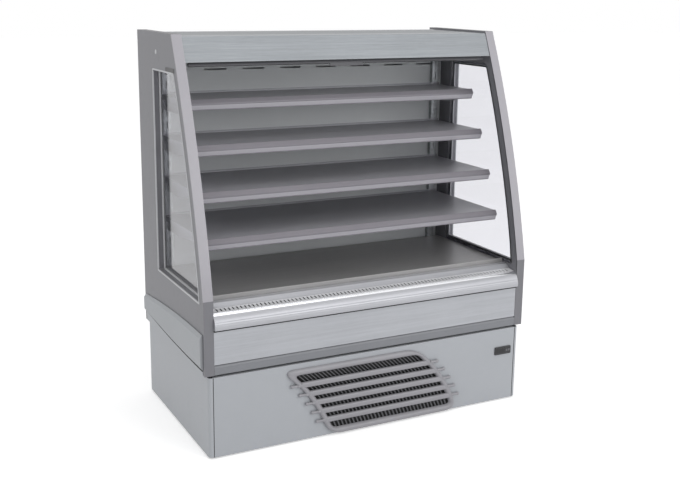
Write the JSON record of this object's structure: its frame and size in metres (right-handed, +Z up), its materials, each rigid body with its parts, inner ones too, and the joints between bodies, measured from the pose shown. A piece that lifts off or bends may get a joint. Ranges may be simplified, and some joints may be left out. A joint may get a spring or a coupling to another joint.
{
  "type": "open multideck display fridge",
  "caption": "Open-fronted chilled display case with tilting shelves, a lift-up deck, glazed curved end frames, a pull-down night blind and a built-in cooling unit behind a louvred panel.",
  "frame": {"origin": "on the floor under the middle of the case: the middle of the bounding box's bottom", "axes": "+X to the right and +Y to the back as seen by the shopper who faces the open front, +Z up"},
  "size_m": [1.3526, 0.712, 1.45],
  "materials": {
    "base_paint": "satin",
    "end_panel": "satin",
    "brushed_panel": "satin",
    "fascia_steel": "satin",
    "trim_paint": "satin",
    "silver_profile": "satin",
    "moulding_plastic": "satin",
    "grille_plastic": "satin",
    "shelf_paint": "satin",
    "rail_plastic": "satin",
    "deck_steel": "satin",
    "liner_panel": "satin",
    "liner_paint": "satin",
    "end_glass": "gloss",
    "black_plastic": "satin",
    "key_plastic": "satin",
    "black_paint": "satin",
    "galvanised": "matte",
    "coil_fins": "matte",
    "copper_pipe": "satin",
    "lamp_white": "satin",
    "blind_bar": "satin",
    "blind_cloth": "matte"
  },
  "bodies": {
    "case": {"base_frame": "galvanised", "foot_front_left": "black_plastic", "foot_front_right": "black_plastic", "foot_rear_left": "black_plastic", "foot_rear_right": "black_plastic", "base_side_left": "base_paint", "base_side_right": "base_paint", "base_back_panel": "galvanised", "condenser_coil": "coil_fins", "condenser_shroud": "galvanised", "condenser_fan_motor": "black_paint", "compressor": "black_paint", "evaporation_tray": "galvanised", "electrical_box": "trim_paint", "refrigerant_pipe": "copper_pipe", "insulated_tub": "liner_panel", "insulated_back": "liner_panel", "insulated_roof": "liner_panel", "end_frame_left": "end_panel", "end_frame_right": "end_panel", "end_glass_left": "end_glass", "end_glass_right": "end_glass", "side_moulding_left": "moulding_plastic", "side_moulding_right": "moulding_plastic", "front_panel": "brushed_panel", "lower_trim": "trim_paint", "nosing": "silver_profile", "return_grille": "silver_profile", "evaporator_fan_plate": "galvanised", "evaporator_coil": "coil_fins", "inner_back_panel": "liner_paint", "upright_left": "galvanised", "upright_right": "galvanised", "canopy_fascia": "fascia_steel", "canopy_lamp": "lamp_white", "air_honeycomb": "black_plastic"},
    "service_panel": {"base_front_panel": "base_paint", "condenser_grille": "grille_plastic", "controller_body": "black_plastic"},
    "key_left": {"controller_key_left": "key_plastic"},
    "key_right": {"controller_key_right": "key_plastic"},
    "condenser_fan": {"condenser_fan": "black_plastic"},
    "evaporator_fan_left": {"evaporator_fan_left": "black_plastic"},
    "evaporator_fan_right": {"evaporator_fan_right": "black_plastic"},
    "deck": {"deck_pan": "deck_steel"},
    "shelf_1": {"shelf_bracket_1": "shelf_paint", "shelf_tray_1": "shelf_paint", "price_rail_1": "rail_plastic"},
    "shelf_2": {"shelf_bracket_2": "shelf_paint", "shelf_tray_2": "shelf_paint", "price_rail_2": "rail_plastic"},
    "shelf_3": {"shelf_bracket_3": "shelf_paint", "shelf_tray_3": "shelf_paint", "price_rail_3": "rail_plastic"},
    "shelf_4": {"shelf_bracket_4": "shelf_paint", "shelf_tray_4": "shelf_paint", "price_rail_4": "rail_plastic"},
    "roller": {"blind_roller": "blind_cloth"},
    "blind": {"blind_bar": "blind_bar", "blind_fabric": "blind_cloth"}
  },
  "joints": [
    {"name": "service_panel_pull", "type": "slide", "parent": "case", "child": "service_panel", "axis": [0, -1, 0], "range_m": [0, 0.15]},
    {"name": "key_left_press", "type": "slide", "parent": "service_panel", "child": "key_left", "axis": [0, 1, 0], "range_m": [0, 0.001], "stiffness_N_per_m": 400},
    {"name": "key_right_press", "type": "slide", "parent": "service_panel", "child": "key_right", "axis": [0, 1, 0], "range_m": [0, 0.001], "stiffness_N_per_m": 400},
    {"name": "condenser_fan_spin", "type": "hinge", "parent": "case", "child": "condenser_fan", "pos_m": [0, -0.1964, 0.1723], "axis": [0, 1, 0], "continuous": true},
    {"name": "evaporator_fan_left_spin", "type": "hinge", "parent": "case", "child": "evaporator_fan_left", "pos_m": [-0.2835, -0.157, 0.435], "axis": [0, 1, 0], "continuous": true},
    {"name": "evaporator_fan_right_spin", "type": "hinge", "parent": "case", "child": "evaporator_fan_right", "pos_m": [0.2835, -0.157, 0.435], "axis": [0, 1, 0], "continuous": true},
    {"name": "deck_lift", "type": "hinge", "parent": "case", "child": "deck", "pos_m": [0, 0.233, 0.55], "axis": [-1, 0, 0], "range_deg": [0, 15]},
    {"name": "shelf_1_lift", "type": "hinge", "parent": "case", "child": "shelf_1", "pos_m": [0, 0.234, 1.224], "axis": [-1, 0, 0], "range_deg": [0, 10]},
    {"name": "shelf_2_lift", "type": "hinge", "parent": "case", "child": "shelf_2", "pos_m": [0, 0.234, 1.07], "axis": [-1, 0, 0], "range_deg": [0, 10]},
    {"name": "shelf_3_lift", "type": "hinge", "parent": "case", "child": "shelf_3", "pos_m": [0, 0.234, 0.915], "axis": [-1, 0, 0], "range_deg": [0, 10]},
    {"name": "shelf_4_lift", "type": "hinge", "parent": "case", "child": "shelf_4", "pos_m": [0, 0.234, 0.761], "axis": [-1, 0, 0], "range_deg": [0, 10]},
    {"name": "blind_pull", "type": "slide", "parent": "case", "child": "blind", "axis": [0, -0.2861, -0.9582], "range_m": [0, 0.81], "stiffness_N_per_m": 15, "springref_m": -0.6, "deforming": ["blind_fabric"]},
    {"name": "roller_turn", "type": "hinge", "parent": "case", "child": "roller", "pos_m": [0, -0.03783, 1.37848], "axis": [1, 0, 0], "range_deg": [0, 2115]}
  ],
  "couplings": [
    {"joint": "roller_turn", "follows": "blind_pull", "rad_per_m": 45.45}
  ]
}
